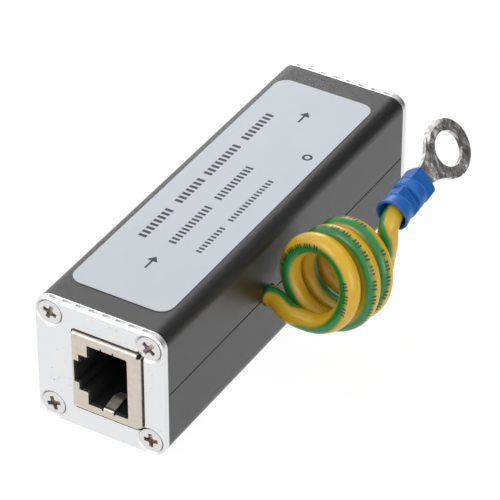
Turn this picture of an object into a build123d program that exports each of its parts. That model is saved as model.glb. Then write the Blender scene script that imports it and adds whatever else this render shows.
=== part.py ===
from build123d import *
from math import cos, pi, radians, sin, tan
import os

# Ethernet surge protector: a split aluminium case with a shielded jack at each end, the protection
# board between them, and an earth lead that leaves the case in a close coil and ends in a ring terminal.
# Millimetres, +Z up. The origin is at the middle of the case's bottom face. X runs across the plates,
# Y along the case from the input plate (-Y) to the output plate (+Y).

os.makedirs("parts", exist_ok=True)

# Standard shielded jack, turned a quarter so that its latch side faces the circuit board
jack_height = 13.35
jack_width = 15.9
jack_depth = 21.0

# Case: two equal extruded half shells, as wide and high as the jack and the room on its four sides
room_on_board_side = 7.5
room_on_top_side = 4.15
room_at_flanks = 4.55
case_width = jack_height + room_on_board_side + room_on_top_side
case_height = jack_width + 2 * room_at_flanks
case_length = 80.0
case_corner_radius = 2.6
case_wall = 1.3
seam_chamfer = 0.15
tongue_height = 0.8
tongue_thickness = 0.6
tongue_clearance = 0.08

# End plates
plate_thickness = 1.5
plate_edge_radius = 0.45
cutout_clearance = 0.4
cutout_corner_radius = 0.8

# Countersunk screws, four to a plate, and the ports of the half shells that they thread into
screw_inset = 2.85
thread_diameter = 2.5
screw_head_diameter = 4.5
screw_head_angle = 90.0
screw_head_rim = 0.15
screw_head_sink = 0.2
screw_length = 8.0
screw_hole_clearance = 0.2
countersink_clearance = 0.08
thread_clearance = 0.1
recess_width = 0.8
recess_span = 2.7
recess_heart = 1.4
recess_depth = 0.9
recess_taper = 10.0
port_wall = 0.75
port_slot_width = 1.2

# Circuit board on edge, held in a groove of each half shell
board_thickness = 1.6
board_end_clearance = 0.2
board_edge_clearance = 0.15
groove_clearance = 0.1
groove_rib_thickness = 1.0
groove_rib_height = 1.8

# Shield of the jack, with its stepped window
jack_stand_proud = 0.6
shield_thickness = 0.3
shield_bend_radius = 0.6
shield_notch = 0.7
shield_notch_depth = 1.1
window_top_frame = 2.5
window_flank_frame = 1.75
window_corner_radius = 0.35
latch_sill = 0.3
latch_depth = 0.95
latch_width = 4.55
key_depth = 1.75
key_width = 7.4
window_notch_width = 0.35
window_notch_depth = 0.35
leaf_width = 2.0
leaf_thickness = 0.25
leaf_length = 5.2
leaf_rise = 0.75
leaf_bend_radius = 0.3
leaf_bow_radius = 1.5
leaf_bow_place = 3.1
leg_width = 1.2
leg_stand_off = 13.0
leg_tail = 0.9
leg_slot_clearance = 0.15

# Moulded body inside each shield
body_clearance = 0.1
socket_inset = 0.2
socket_depth = 13.5
peg_diameter = 3.1
peg_side_room = 1.835
peg_stand_off = 8.9
peg_tail = 0.8
peg_clearance = 0.15
leaf_pocket_depth = 0.9
leaf_pocket_clearance = 0.2

# Contact wires, eight to a jack
contact_count = 8
contact_pitch = 1.02
contact_size = 0.35
contact_bend_radius = 0.4
contact_hairpin = 1.0
contact_front = 1.6
contact_cover = 0.45
contact_reach = 10.0
contact_drop = 2.6
contact_rear = 1.6
contact_row_gap = 2.54
contact_tail = 1.2
contact_slot_clearance = 0.13
contact_hole_clearance = 0.15

# Places along the bay between the jacks, as shares of its length from the middle
gas_tube_rows = (0.014, 0.213)
diode_row = 0.4
resistor_row = -0.363
exit_row = -0.18

# Gas discharge tubes, three electrodes each, on the board between the jacks
gas_tube_diameter = 5.0
gas_tube_length = 7.6
gas_tube_cap = 1.1
gas_tube_middle = 1.2
gas_tube_waist = 0.25
gas_tube_stand_off = 0.5
gas_tube_lead_diameter = 0.8
gas_tube_lead_tail = 1.0
gas_tube_hole_clearance = 0.15

# Clamp diodes and series resistors on the same face of the board, with part of their pitch left at the ends
diode_count = 4
diode_length = 4.6
diode_width = 3.6
diode_height = 2.3
diode_draft = 8.0
diode_tab_width = 2.0
diode_tab_reach = 0.4
diode_tab_height = 1.1
diode_end_room = 0.5
resistor_count = 8
resistor_length = 3.2
resistor_width = 1.6
resistor_height = 0.6
resistor_cap = 0.5
resistor_cap_step = 0.06
resistor_end_room = 1.4

# Label on the top face
label_side_room = 2.75
label_end_room = 4.75
label_thickness = 0.12
label_corner_radius = 2.5
label_offset_x = -0.35

# Earth lead: it leaves by a hole on the seam, and its copper core is soldered through the board
lead_diameter = 3.6
core_diameter = 2.0
exit_hole_clearance = 0.5
exit_below_seam = 0.1
core_hole_clearance = 0.3
core_bare_length = 1.6
core_tail = 1.0
solder_diameter = 4.2
solder_height = 0.9
solder_clearance = 0.02

# Close coil of the lead, as one solid of its outer shape, leaning a little down and away from the case.
# Its middle, the routes and the ring are placed from the hole that the lead comes out of.
coil_middle = Vector(10.5, 5.3, 4.5)
coil_turns = 3
coil_pitch = 4.1
coil_radius = 7.3
coil_heading = 7.3
coil_droop = 9.4

# Routes of the lead: from the hole into the coil, and from the coil up into the terminal
share_of_run = 0.45
lead_in_route = [
    (0, 0, 0),
    (1.4, 0, 0),
    (4.7, -1.8, -0.8),
    (8.5, -2.0, -1.1),
]
lead_rise_route = [
    (10.5, 10.4, -2.1),
    (14.4, 10.9, -0.4),
    (15.3, 12.6, 2.8),
    (15.3, 13.3, 5.8),
    (16.0, 12.9, 8.8),
    (15.7, 13.1, 11.8),
]
lead_bend_place = 18.4
lead_end_place = 17.1

# Ring terminal: a flat tongue with a barrel that is crimped flat over the bare core, and an insulating sleeve
# that is pressed with it. Distances along it are from the middle of the ring's hole towards the wire.
ring_middle = Vector(16.1, 33.58, 16.11)
terminal_direction = Vector(-0.026, -0.989, -0.145).normalized()
terminal_face = Vector(0.808, -0.106, 0.579).normalized()
ring_hole_diameter = 6.5
ring_diameter = 10.7
tongue_sheet = 0.8
neck_width = 3.7
neck_flare_radius = 6.5
pressed_core_width = 3.0
pressed_core_thickness = 1.15
core_seat_clearance = 0.1
barrel_wall = 0.6
barrel_start = 8.6
barrel_floor = 0.8
barrel_end = 16.8
sleeve_start = 8.8
sleeve_mouth = 19.2
sleeve_bore_clearance = 0.1
sleeve_wall = 0.32
crimp_side_wall = 0.5
crimp_corner_radius = 0.5
sleeve_nose_radius = 0.3
sleeve_bulge_diameter = 5.9
sleeve_bulge_places = (12.3, 14.6)
sleeve_bulge_ramp = 0.4
sleeve_bulge_radius = 0.3
sleeve_waist_diameter = 5.6
sleeve_bell_place = 16.9
sleeve_bell_diameter = 6.3
sleeve_bell_bore = 5.3
sleeve_throat_bore = 4.1

# Values that follow from the sizes above
inner_width = case_width - 2 * case_wall
inner_height = case_height - 2 * case_wall
middle_z = case_height / 2
screw_spacing_x = case_width - 2 * screw_inset
screw_spacing_z = case_height - 2 * screw_inset
jack_board_x = room_on_board_side - case_width / 2
jack_top_x = jack_board_x + jack_height
jack_centre_x = (jack_board_x + jack_top_x) / 2
latch_x = jack_board_x + latch_sill
key_x = latch_x + latch_depth
window_shoulder_x = key_x + key_depth
window_top_x = jack_top_x - window_top_frame
window_width = jack_width - 2 * window_flank_frame
leaf_centre_x = (window_shoulder_x + window_top_x) / 2
jack_front = plate_thickness + jack_stand_proud
jack_back = jack_front - jack_depth
board_length = case_length - 2 * board_end_clearance
board_height = inner_height - 2 * board_edge_clearance
board_back_x = jack_board_x - board_thickness
board_centre_x = jack_board_x - board_thickness / 2
body_front = jack_front - shield_thickness - body_clearance
body_back = jack_back + shield_thickness + body_clearance
body_top_x = jack_top_x - shield_thickness - body_clearance
body_width = jack_width - 2 * (shield_thickness + body_clearance)
contact_top_x = body_top_x - contact_cover - contact_size / 2
contact_front_z = jack_front - contact_front
contact_rear_z = jack_back + contact_rear
peg_spacing = body_width - 2 * peg_side_room
peg_z = jack_front - peg_stand_off
leg_z = jack_front - leg_stand_off
leg_y = jack_width / 2 - shield_thickness / 2
bay_length = case_length + 2 * jack_back
diode_pitch = board_height / (diode_count + diode_end_room)
resistor_pitch = board_height / (resistor_count + resistor_end_room)
exit_point = Vector(case_width / 2, exit_row * bay_length, middle_z - exit_below_seam)
ring_centre = exit_point + ring_middle
barrel_bore_width = pressed_core_width + 2 * core_seat_clearance
barrel_bore_thickness = pressed_core_thickness + 2 * core_seat_clearance
barrel_width = barrel_bore_width + 2 * barrel_wall
barrel_thickness = barrel_bore_thickness + 2 * barrel_wall
sleeve_bore_width = barrel_width + 2 * sleeve_bore_clearance
sleeve_bore_thickness = barrel_thickness + 2 * sleeve_bore_clearance
crimp_width = sleeve_bore_width + 2 * crimp_side_wall
crimp_thickness = sleeve_bore_thickness + 2 * sleeve_wall

# What stands at an end is modelled on Plane.XY looking out of the case, with X towards the jack's top and
# Z = 0 on the end of the half shells. The output end is the input end turned half a turn about X.
input_end = Plane(origin=(0, -case_length / 2, middle_z), x_dir=(1, 0, 0), z_dir=(0, -1, 0))
output_end = Plane(origin=(0, case_length / 2, middle_z), x_dir=(1, 0, 0), z_dir=(0, 1, 0))
ends = {"input": input_end, "output": output_end}
exit_plane = Plane(origin=exit_point, x_dir=(0, 1, 0), z_dir=(1, 0, 0))


def keep(part, name):
    """Names a finished piece and writes it to the parts folder."""
    part.label = name
    export_step(part, f"parts/{name}.step")


def keep_at_ends(part, name):
    """Writes one copy of a piece for each end of the case."""
    for end_name, end in ends.items():
        keep(part.moved(end.location), f"{end_name}_{name}")


# Half shell: a trough with a screw port in each corner, two pairs of ribs that make the board's groove,
# and a tongue on one rim that slides into the groove in the rim of the other half
def half_shell(section, name):
    bore_radius = (thread_diameter + thread_clearance) / 2
    port_radius = bore_radius + port_wall
    slot_reach = port_radius + port_wall
    slot_middle = slot_reach / 2 * cos(pi / 4)
    rib_spacing = board_thickness + 2 * groove_clearance + groove_rib_thickness
    lip_width = tongue_thickness + tongue_clearance
    lip_depth = tongue_height + tongue_clearance
    rim = case_height / 2
    ports = [(side * screw_spacing_x / 2, screw_inset) for side in (-1, 1)]
    with BuildPart() as shell:
        with BuildSketch(section):
            with Locations((0, rim)):
                RectangleRounded(case_width, case_height, case_corner_radius)
                RectangleRounded(inner_width, inner_height, case_corner_radius - case_wall, mode=Mode.SUBTRACT)
            with Locations(ports):
                Circle(port_radius)
            for side in (-1, 1):
                with Locations((side * board_centre_x, case_wall + groove_rib_height / 2)):
                    with GridLocations(rib_spacing, 0, 2, 1):
                        Rectangle(groove_rib_thickness, groove_rib_height)
            with Locations(ports):
                Circle(bore_radius, mode=Mode.SUBTRACT)
            for side in (-1, 1):
                with Locations((side * (screw_spacing_x / 2 - slot_middle), screw_inset + slot_middle)):
                    Rectangle(slot_reach, port_slot_width, rotation=90 + 45 * side, mode=Mode.SUBTRACT)
            with Locations((0, rim + case_height / 2)):
                Rectangle(2 * case_width, case_height, mode=Mode.SUBTRACT)
            with Locations((inner_width / 2 + lip_width / 2, rim - lip_depth / 2)):
                Rectangle(lip_width, lip_depth, mode=Mode.SUBTRACT)
            with Locations((-inner_width / 2 - tongue_thickness / 2, rim + tongue_height / 2)):
                Rectangle(tongue_thickness, tongue_height)
            with Locations((-case_width / 2, rim), (case_width / 2, rim)):
                Rectangle(seam_chamfer * 2**0.5, seam_chamfer * 2**0.5, rotation=45, mode=Mode.SUBTRACT)
        extrude(amount=case_length / 2, both=True)
        with BuildSketch(exit_plane):
            Circle((lead_diameter + exit_hole_clearance) / 2)
        extrude(amount=-2 * case_wall, mode=Mode.SUBTRACT)
    keep(shell.part, name)


half_shell(Plane(origin=(0, 0, 0), x_dir=(1, 0, 0), z_dir=(0, -1, 0)), "lower_shell")
half_shell(Plane(origin=(0, 0, case_height), x_dir=(-1, 0, 0), z_dir=(0, -1, 0)), "upper_shell")

# End plate: a blank with the case's corners, cut out for the jack and countersunk for the screws
with BuildPart() as end_plate:
    with BuildSketch():
        RectangleRounded(case_width, case_height, case_corner_radius)
    extrude(amount=plate_thickness)
    fillet(end_plate.faces().sort_by(Axis.Z)[-1].edges(), plate_edge_radius)
    with BuildSketch():
        with Locations((jack_centre_x, 0)):
            RectangleRounded(
                jack_height + 2 * cutout_clearance,
                jack_width + 2 * cutout_clearance,
                cutout_corner_radius,
            )
    extrude(amount=plate_thickness, mode=Mode.SUBTRACT)
    with Locations((0, 0, plate_thickness)):
        with GridLocations(screw_spacing_x, screw_spacing_z, 2, 2):
            CounterSinkHole(
                (thread_diameter + screw_hole_clearance) / 2,
                screw_head_diameter / 2 + screw_head_sink + screw_head_rim + countersink_clearance,
                counter_sink_angle=screw_head_angle,
            )
keep_at_ends(end_plate.part, "end_plate")

# Countersunk screw with a cross recess and a pointed tip, its head's face at Z = 0
head_cone = (screw_head_diameter - thread_diameter) / 2 / tan(radians(screw_head_angle / 2))
with BuildPart() as plate_screw:
    with BuildSketch(Plane.XZ):
        with BuildLine():
            Polyline(
                (0, 0),
                (screw_head_diameter / 2, 0),
                (screw_head_diameter / 2, -screw_head_rim),
                (thread_diameter / 2, -screw_head_rim - head_cone),
                (thread_diameter / 2, -screw_length + thread_diameter / 4),
                (thread_diameter / 4, -screw_length),
                (0, -screw_length),
                close=True,
            )
        make_face()
    revolve(axis=Axis.Z)
    with BuildSketch():
        Rectangle(recess_span, recess_width)
        Rectangle(recess_width, recess_span)
        Rectangle(recess_heart, recess_heart, rotation=45)
    extrude(amount=-recess_depth, taper=recess_taper, mode=Mode.SUBTRACT)

# The four screws of a plate, each driven home at its own turn
screw_turns = (20, 68, 5, 50)
with BuildPart() as plate_screws:
    corners = GridLocations(screw_spacing_x, screw_spacing_z, 2, 2).locations
    for corner, turn in zip(corners, screw_turns):
        seat = Pos(0, 0, plate_thickness - screw_head_sink) * corner * Rot(0, 0, turn)
        add(plate_screw.part.moved(seat))
keep_at_ends(plate_screws.part, "plate_screws")


# Stepped mouth of the socket: the plug's width, then the key's shoulder, then the latch slot
def mouth_outline(inset):
    with BuildSketch() as mouth:
        for left_x, width in ((window_shoulder_x, window_width), (key_x, key_width), (latch_x, latch_width)):
            with Locations(((window_top_x + left_x) / 2, 0)):
                Rectangle(window_top_x - left_x - 2 * inset, width - 2 * inset)
        fillet(mouth.vertices().group_by(Axis.X)[-1], window_corner_radius)
    return mouth.sketch


window_outline = mouth_outline(0)
socket_outline = mouth_outline(socket_inset)


# Shield: folded sheet, open towards the board, with the window, a relief notch at the two top corners,
# a grounding leaf turned in from each side of the window and legs that go through the board
with BuildPart() as jack_shield:
    with BuildSketch(Plane.XY.offset(jack_front)):
        with Locations((jack_centre_x, 0)):
            Rectangle(jack_height, jack_width)
    extrude(amount=-jack_depth)
    bends = jack_shield.edges().filter_by(
        lambda edge: edge.center().X > jack_board_x + shield_bend_radius
        and edge.center().Z > jack_back + shield_bend_radius
    )
    fillet(bends, shield_bend_radius)
    with BuildSketch(Plane.XY.offset(jack_front - shield_thickness)):
        with Locations((jack_top_x - shield_thickness, 0)):
            Rectangle(jack_height, jack_width - 2 * shield_thickness, align=(Align.MAX, Align.CENTER))
    extrude(amount=-jack_depth + 2 * shield_thickness, mode=Mode.SUBTRACT)
    with BuildSketch(Plane.XY.offset(jack_front)):
        add(window_outline)
        with Locations((leaf_centre_x, 0)):
            with GridLocations(leaf_width + window_notch_width, 0, 2, 1):
                Rectangle(window_notch_width, window_width + 2 * window_notch_depth)
    extrude(amount=-shield_thickness, mode=Mode.SUBTRACT)
    with BuildSketch(Plane.XY.offset(jack_front)):
        with Locations((jack_top_x, -jack_width / 2), (jack_top_x, jack_width / 2)):
            Rectangle(2 * shield_notch, 2 * shield_notch)
    extrude(amount=-shield_notch_depth, mode=Mode.SUBTRACT)
    leaf_root = window_width / 2
    leaf_level = jack_front - shield_thickness / 2
    for side in (-1, 1):
        with BuildSketch(Plane.YZ.offset(leaf_centre_x)) as leaf:
            with BuildLine():
                FilletPolyline(
                    (side * (leaf_root + window_notch_depth), leaf_level),
                    (side * (leaf_root - leaf_thickness / 2), leaf_level),
                    (side * (leaf_root - leaf_rise), leaf_level - leaf_bow_place),
                    (side * leaf_root, leaf_level - leaf_length),
                    radius=(leaf_bend_radius, leaf_bow_radius),
                )
            trace(line_width=leaf_thickness)
        extrude(amount=leaf_width / 2, both=True)
    with BuildSketch(Plane.YZ.offset(jack_board_x)):
        with Locations((-leg_y, leg_z), (leg_y, leg_z)):
            Rectangle(shield_thickness, leg_width)
    extrude(amount=-board_thickness - leg_tail)
keep_at_ends(jack_shield.part, "jack_shield")

# Jack body: the moulded block with the stepped socket, a comb slot for each contact, a well where the
# contact goes down to the board, pockets for the leaves and two pegs that locate it on the board
contact_places = [
    ((number - (contact_count - 1) / 2) * contact_pitch, contact_rear_z + number % 2 * contact_row_gap)
    for number in range(contact_count)
]
slot_width = contact_size + 2 * contact_slot_clearance
with BuildPart() as jack_body:
    with BuildSketch(Plane.XY.offset(body_front)):
        with Locations((body_top_x, 0)):
            Rectangle(body_top_x - jack_board_x, body_width, align=(Align.MAX, Align.CENTER))
    extrude(amount=body_back - body_front)
    with BuildSketch(Plane.XY.offset(body_front)):
        add(socket_outline)
    extrude(amount=-socket_depth, mode=Mode.SUBTRACT)
    with BuildSketch(Plane.XY.offset(body_front)):
        with Locations((leaf_centre_x, 0)):
            Rectangle(leaf_width + 2 * leaf_pocket_clearance, window_width + 2 * leaf_pocket_depth)
    extrude(amount=-leaf_length, mode=Mode.SUBTRACT)
    for place_y, well_z in contact_places:
        comb_front = contact_front_z + contact_size / 2 + contact_slot_clearance
        comb_back = well_z - contact_size / 2 - contact_slot_clearance
        with BuildSketch(Plane.XZ.offset(-place_y)):
            with Locations((body_top_x, comb_front)):
                Rectangle(
                    body_top_x - window_top_x + 2 * socket_inset,
                    comb_front - comb_back,
                    align=(Align.MAX, Align.MAX),
                )
            with Locations((body_top_x, well_z)):
                Rectangle(body_top_x - jack_board_x, slot_width, align=(Align.MAX, Align.CENTER))
        extrude(amount=slot_width / 2, both=True, mode=Mode.SUBTRACT)
    with BuildSketch(Plane.YZ.offset(jack_board_x)):
        with Locations((0, peg_z)):
            with GridLocations(peg_spacing, 0, 2, 1):
                Circle(peg_diameter / 2)
    extrude(amount=-board_thickness - peg_tail)
keep_at_ends(jack_body.part, "jack_body")

# Contacts: bent spring wires, each from the board up the well, forward along the top of its comb slot and
# back down into the socket
with BuildPart() as jack_contacts:
    for place_y, well_z in contact_places:
        with BuildSketch(Plane.XZ.offset(-place_y)):
            with BuildLine():
                FilletPolyline(
                    (board_back_x - contact_tail, well_z),
                    (contact_top_x, well_z),
                    (contact_top_x, contact_front_z),
                    (contact_top_x - contact_hairpin, contact_front_z),
                    (window_top_x - contact_drop, contact_front_z - contact_reach),
                    radius=contact_bend_radius,
                )
            trace(line_width=contact_size)
        extrude(amount=contact_size / 2, both=True)
keep_at_ends(jack_contacts.part, "jack_contacts")

# Circuit board: drilled for the pegs, contacts and legs of both jacks, the gas tubes' leads and the core
gas_tube_lead_rise = (gas_tube_length - gas_tube_cap) / 2
gas_tube_places = [
    (row * bay_length, middle_z + level * board_height / 4) for row in gas_tube_rows for level in (-1, 1)
]
with BuildPart() as circuit_board:
    with BuildSketch(Plane.YZ.offset(jack_board_x)):
        with Locations((0, middle_z)):
            Rectangle(board_length, board_height)
        for end in ends.values():
            for side in (-1, 1):
                peg = end.from_local_coords((0, side * peg_spacing / 2, peg_z))
                leg = end.from_local_coords((0, side * leg_y, leg_z))
                with Locations((peg.Y, peg.Z)):
                    Circle((peg_diameter + peg_clearance) / 2, mode=Mode.SUBTRACT)
                with Locations((leg.Y, leg.Z)):
                    Rectangle(
                        leg_width + 2 * leg_slot_clearance,
                        shield_thickness + 2 * leg_slot_clearance,
                        mode=Mode.SUBTRACT,
                    )
            for place_y, well_z in contact_places:
                tail = end.from_local_coords((0, place_y, well_z))
                with Locations((tail.Y, tail.Z)):
                    Circle(contact_size * 2**0.5 / 2 + contact_hole_clearance / 2, mode=Mode.SUBTRACT)
        with Locations(gas_tube_places):
            with GridLocations(0, gas_tube_lead_rise, 1, 3):
                Circle((gas_tube_lead_diameter + gas_tube_hole_clearance) / 2, mode=Mode.SUBTRACT)
        with Locations((exit_point.Y, exit_point.Z)):
            Circle((core_diameter + core_hole_clearance) / 2, mode=Mode.SUBTRACT)
    extrude(amount=-board_thickness)
keep(circuit_board.part, "circuit_board")

# Gas discharge tube: ceramic body between two end caps and a middle electrode, each with its lead
gas_tube_x = jack_board_x + gas_tube_stand_off + gas_tube_diameter / 2
tube_radius = gas_tube_diameter / 2
with BuildPart() as gas_tube:
    with BuildSketch(Plane.XZ):
        Rectangle(tube_radius, gas_tube_length, align=(Align.MIN, Align.CENTER))
        ceramic_length = (gas_tube_length - 2 * gas_tube_cap - gas_tube_middle) / 2
        with Locations((tube_radius, 0)):
            with GridLocations(0, gas_tube_middle + ceramic_length, 1, 2):
                Rectangle(gas_tube_waist, ceramic_length, align=(Align.MAX, Align.CENTER), mode=Mode.SUBTRACT)
    revolve(axis=Axis.Z)
    with BuildSketch(Plane.YZ):
        with GridLocations(0, gas_tube_lead_rise, 1, 3):
            Circle(gas_tube_lead_diameter / 2)
    extrude(amount=board_back_x - gas_tube_lead_tail - gas_tube_x)
for number, (tube_y, tube_z) in enumerate(gas_tube_places, start=1):
    keep(gas_tube.part.moved(Location((gas_tube_x, tube_y, tube_z))), f"gas_tube_{number}")

# Clamp diodes: moulded blocks with a flat tab at each end
with BuildPart() as clamp_diodes:
    for number in range(diode_count):
        diode_z = middle_z + (number - (diode_count - 1) / 2) * diode_pitch
        with BuildSketch(Plane.YZ.offset(jack_board_x)):
            with Locations((diode_row * bay_length, diode_z)):
                Rectangle(diode_length, diode_width)
        extrude(amount=diode_height, taper=diode_draft)
        with BuildSketch(Plane.YZ.offset(jack_board_x)):
            with Locations((diode_row * bay_length, diode_z)):
                Rectangle(diode_length + 2 * diode_tab_reach, diode_tab_width)
        extrude(amount=diode_tab_height)
keep(clamp_diodes.part, "clamp_diodes")

# Line resistors: flat chips with raised end caps
with BuildPart() as line_resistors:
    for number in range(resistor_count):
        resistor_z = middle_z + (number - (resistor_count - 1) / 2) * resistor_pitch
        with BuildSketch(Plane.YZ.offset(jack_board_x)):
            with Locations((resistor_row * bay_length, resistor_z)):
                Rectangle(resistor_length, resistor_width)
        extrude(amount=resistor_height - resistor_cap_step)
        with BuildSketch(Plane.YZ.offset(jack_board_x)):
            with Locations((resistor_row * bay_length, resistor_z)):
                with GridLocations(resistor_length - resistor_cap, 0, 2, 1):
                    Rectangle(resistor_cap, resistor_width)
        extrude(amount=resistor_height)
keep(line_resistors.part, "line_resistors")

# Label: a thin rounded sticker on the top face
with BuildPart() as top_label:
    with BuildSketch(Plane.XY.offset(case_height)):
        with Locations((label_offset_x, 0)):
            RectangleRounded(
                case_width - 2 * label_side_room,
                case_length - 2 * label_end_room,
                label_corner_radius,
            )
    extrude(amount=label_thickness)
keep(top_label.part, "top_label")

# Earth lead inside the case: the insulated tail up to the hole, its bare core and the solder on the board
bare_x = jack_board_x + core_bare_length
with BuildPart() as earth_lead_tail:
    with BuildSketch(exit_plane):
        Circle(lead_diameter / 2)
    extrude(amount=bare_x - exit_point.X)
keep(earth_lead_tail.part, "earth_lead_tail")

with BuildPart() as earth_lead_core:
    with BuildSketch(exit_plane.offset(bare_x - exit_point.X)):
        Circle(core_diameter / 2)
    extrude(amount=board_back_x - core_tail - bare_x)
keep(earth_lead_core.part, "earth_lead_core")

with BuildPart() as earth_solder_joint:
    with BuildSketch(exit_plane.offset(board_back_x - exit_point.X)):
        Circle(solder_diameter / 2)
    with BuildSketch(exit_plane.offset(board_back_x - solder_height - exit_point.X)):
        Circle(core_diameter / 2 + solder_height / 4)
    loft()
    with BuildSketch(exit_plane.offset(board_back_x - exit_point.X)):
        Circle(core_diameter / 2 + solder_clearance)
    extrude(amount=-2 * solder_height, mode=Mode.SUBTRACT)
keep(earth_solder_joint.part, "earth_solder_joint")


# A free stretch of the lead: runs joined by tangent arcs, each as large as its two runs allow
def lead_tube(route, name):
    points = [exit_point + Vector(point) for point in route]
    radii = []
    for before, corner, after in zip(points, points[1:], points[2:]):
        turn = radians((corner - before).get_angle(after - corner))
        shorter_run = min((corner - before).length, (after - corner).length)
        radii.append(share_of_run * shorter_run / tan(turn / 2))
    with BuildPart() as tube:
        with BuildLine() as path:
            FilletPolyline(*points, radius=radii)
        with BuildSketch(Plane(origin=points[0], z_dir=points[1] - points[0])):
            Circle(lead_diameter / 2)
        sweep()
    expected = pi * (lead_diameter / 2) ** 2 * path.wires()[0].length
    print(name, "radii", [round(radius, 1) for radius in radii], "length", round(path.wires()[0].length, 1))
    print(name, "volume", round(tube.part.volume, 1), "section times length", round(expected, 1))
    keep(tube.part, name)
    return tube.part


lead_in = lead_tube(lead_in_route, "earth_lead_in")
terminal_places = [ring_middle + terminal_direction * place for place in (lead_bend_place, lead_end_place)]
lead_rise = lead_tube(lead_rise_route + terminal_places, "earth_lead_rise")

# Coil: a ring as thick as the lead and as long as its turns, with the lead let into it at both ends
heading = radians(coil_heading)
droop = radians(coil_droop)
coil_plane = Plane(
    origin=exit_point + coil_middle,
    x_dir=(cos(heading), -sin(heading), 0),
    z_dir=(sin(heading) * cos(droop), cos(heading) * cos(droop), -sin(droop)),
)
coil_length = coil_turns * coil_pitch + lead_diameter
with BuildPart() as earth_coil:
    with BuildSketch(coil_plane.offset(-coil_length / 2)):
        Circle(coil_radius + lead_diameter / 2)
        Circle(coil_radius - lead_diameter / 2, mode=Mode.SUBTRACT)
    extrude(amount=coil_length)
    add(lead_in, mode=Mode.SUBTRACT)
    add(lead_rise, mode=Mode.SUBTRACT)
keep(earth_coil.part, "earth_coil")

# Ring terminal: the ring and its neck as one flat tongue, flared into each other, and the barrel
terminal_plane = Plane(origin=ring_centre, x_dir=terminal_direction, z_dir=terminal_face)
with BuildPart() as ring_terminal:
    with BuildSketch(terminal_plane.offset(-tongue_sheet / 2)) as tongue:
        Circle(ring_diameter / 2)
        Rectangle(barrel_start + barrel_floor, neck_width, align=(Align.MIN, Align.CENTER))
        shoulders = tongue.vertices().group_by(Axis.X)[-2]
        fillet(shoulders, neck_flare_radius)
        Circle(ring_hole_diameter / 2, mode=Mode.SUBTRACT)
    extrude(amount=tongue_sheet)
    barrel_plane = Plane(
        origin=terminal_plane.from_local_coords((barrel_start, 0, 0)),
        x_dir=terminal_plane.y_dir,
        z_dir=terminal_plane.x_dir,
    )
    with BuildSketch(barrel_plane):
        SlotOverall(barrel_width, barrel_thickness)
    extrude(amount=barrel_end - barrel_start)
    with BuildSketch(barrel_plane.offset(barrel_floor)):
        SlotOverall(barrel_bore_width, barrel_bore_thickness)
    extrude(amount=barrel_end, mode=Mode.SUBTRACT)
keep(ring_terminal.part, "ring_terminal")

# The bare core inside the barrel, pressed flat, up to the end of the lead's insulation
core_start = barrel_start + barrel_floor + core_seat_clearance
with BuildPart() as terminal_core:
    with BuildSketch(barrel_plane.offset(core_start - barrel_start)):
        SlotOverall(pressed_core_width, pressed_core_thickness)
    extrude(amount=lead_end_place - core_start)
keep(terminal_core.part, "terminal_core")

# Terminal sleeve: pressed flat over the barrel, with a ridge between the two crimps that the tool left
# round, and a flared mouth, both turned about the barrel's axis
bulge_start, bulge_end = sleeve_bulge_places
sleeve_front_plane = barrel_plane.offset(sleeve_start - barrel_start)
with BuildPart() as terminal_sleeve:
    with BuildSketch(sleeve_front_plane):
        RectangleRounded(crimp_width, crimp_thickness, crimp_corner_radius)
    extrude(amount=sleeve_bell_place - sleeve_start)
    fillet(terminal_sleeve.faces().sort_by(Axis(ring_centre, terminal_direction))[0].edges(), sleeve_nose_radius)
    with BuildSketch(terminal_plane) as ridge:
        with BuildLine():
            Polyline(
                (bulge_start, 0),
                (bulge_start, crimp_thickness / 2),
                (bulge_start + sleeve_bulge_ramp, sleeve_bulge_diameter / 2),
                (bulge_end - sleeve_bulge_ramp, sleeve_bulge_diameter / 2),
                (bulge_end, crimp_thickness / 2),
                (bulge_end, 0),
                close=True,
            )
        make_face()
        fillet(ridge.vertices().group_by(Axis.Y)[-1], sleeve_bulge_radius)
    revolve(axis=Axis(ring_centre, terminal_direction))
    with BuildSketch(terminal_plane):
        with BuildLine():
            Polyline(
                (sleeve_bell_place, 0),
                (sleeve_bell_place, sleeve_waist_diameter / 2),
                (sleeve_mouth, sleeve_bell_diameter / 2),
                (sleeve_mouth, 0),
                close=True,
            )
        make_face()
    revolve(axis=Axis(ring_centre, terminal_direction))
    with BuildSketch(sleeve_front_plane):
        SlotOverall(sleeve_bore_width, sleeve_bore_thickness)
    extrude(amount=sleeve_bell_place - sleeve_start, mode=Mode.SUBTRACT)
    with BuildSketch(terminal_plane):
        with BuildLine():
            Polyline(
                (sleeve_bell_place, 0),
                (sleeve_bell_place, sleeve_throat_bore / 2),
                (sleeve_mouth, sleeve_bell_bore / 2),
                (sleeve_mouth, 0),
                close=True,
            )
        make_face()
    revolve(axis=Axis(ring_centre, terminal_direction), mode=Mode.SUBTRACT)
keep(terminal_sleeve.part, "terminal_sleeve")
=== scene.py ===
# %% [markdown]
# # A network surge protector, dressed for the camera
#
# The CAD model gives every hard piece of this protector its true shape and place: a split black case, two
# silver end plates, a shielded socket at each end, the protection board inside, and an earth lead with a
# ring terminal. This lesson gives those pieces their finishes, and makes the two things that plain solids
# cannot show well: the striped lead in its close coil, and the soft blue sleeve that is crimped on its end.
# Everything is in metres, in the frame of the CAD model.

import math

import bpy
from mathutils import Matrix, Vector


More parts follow.
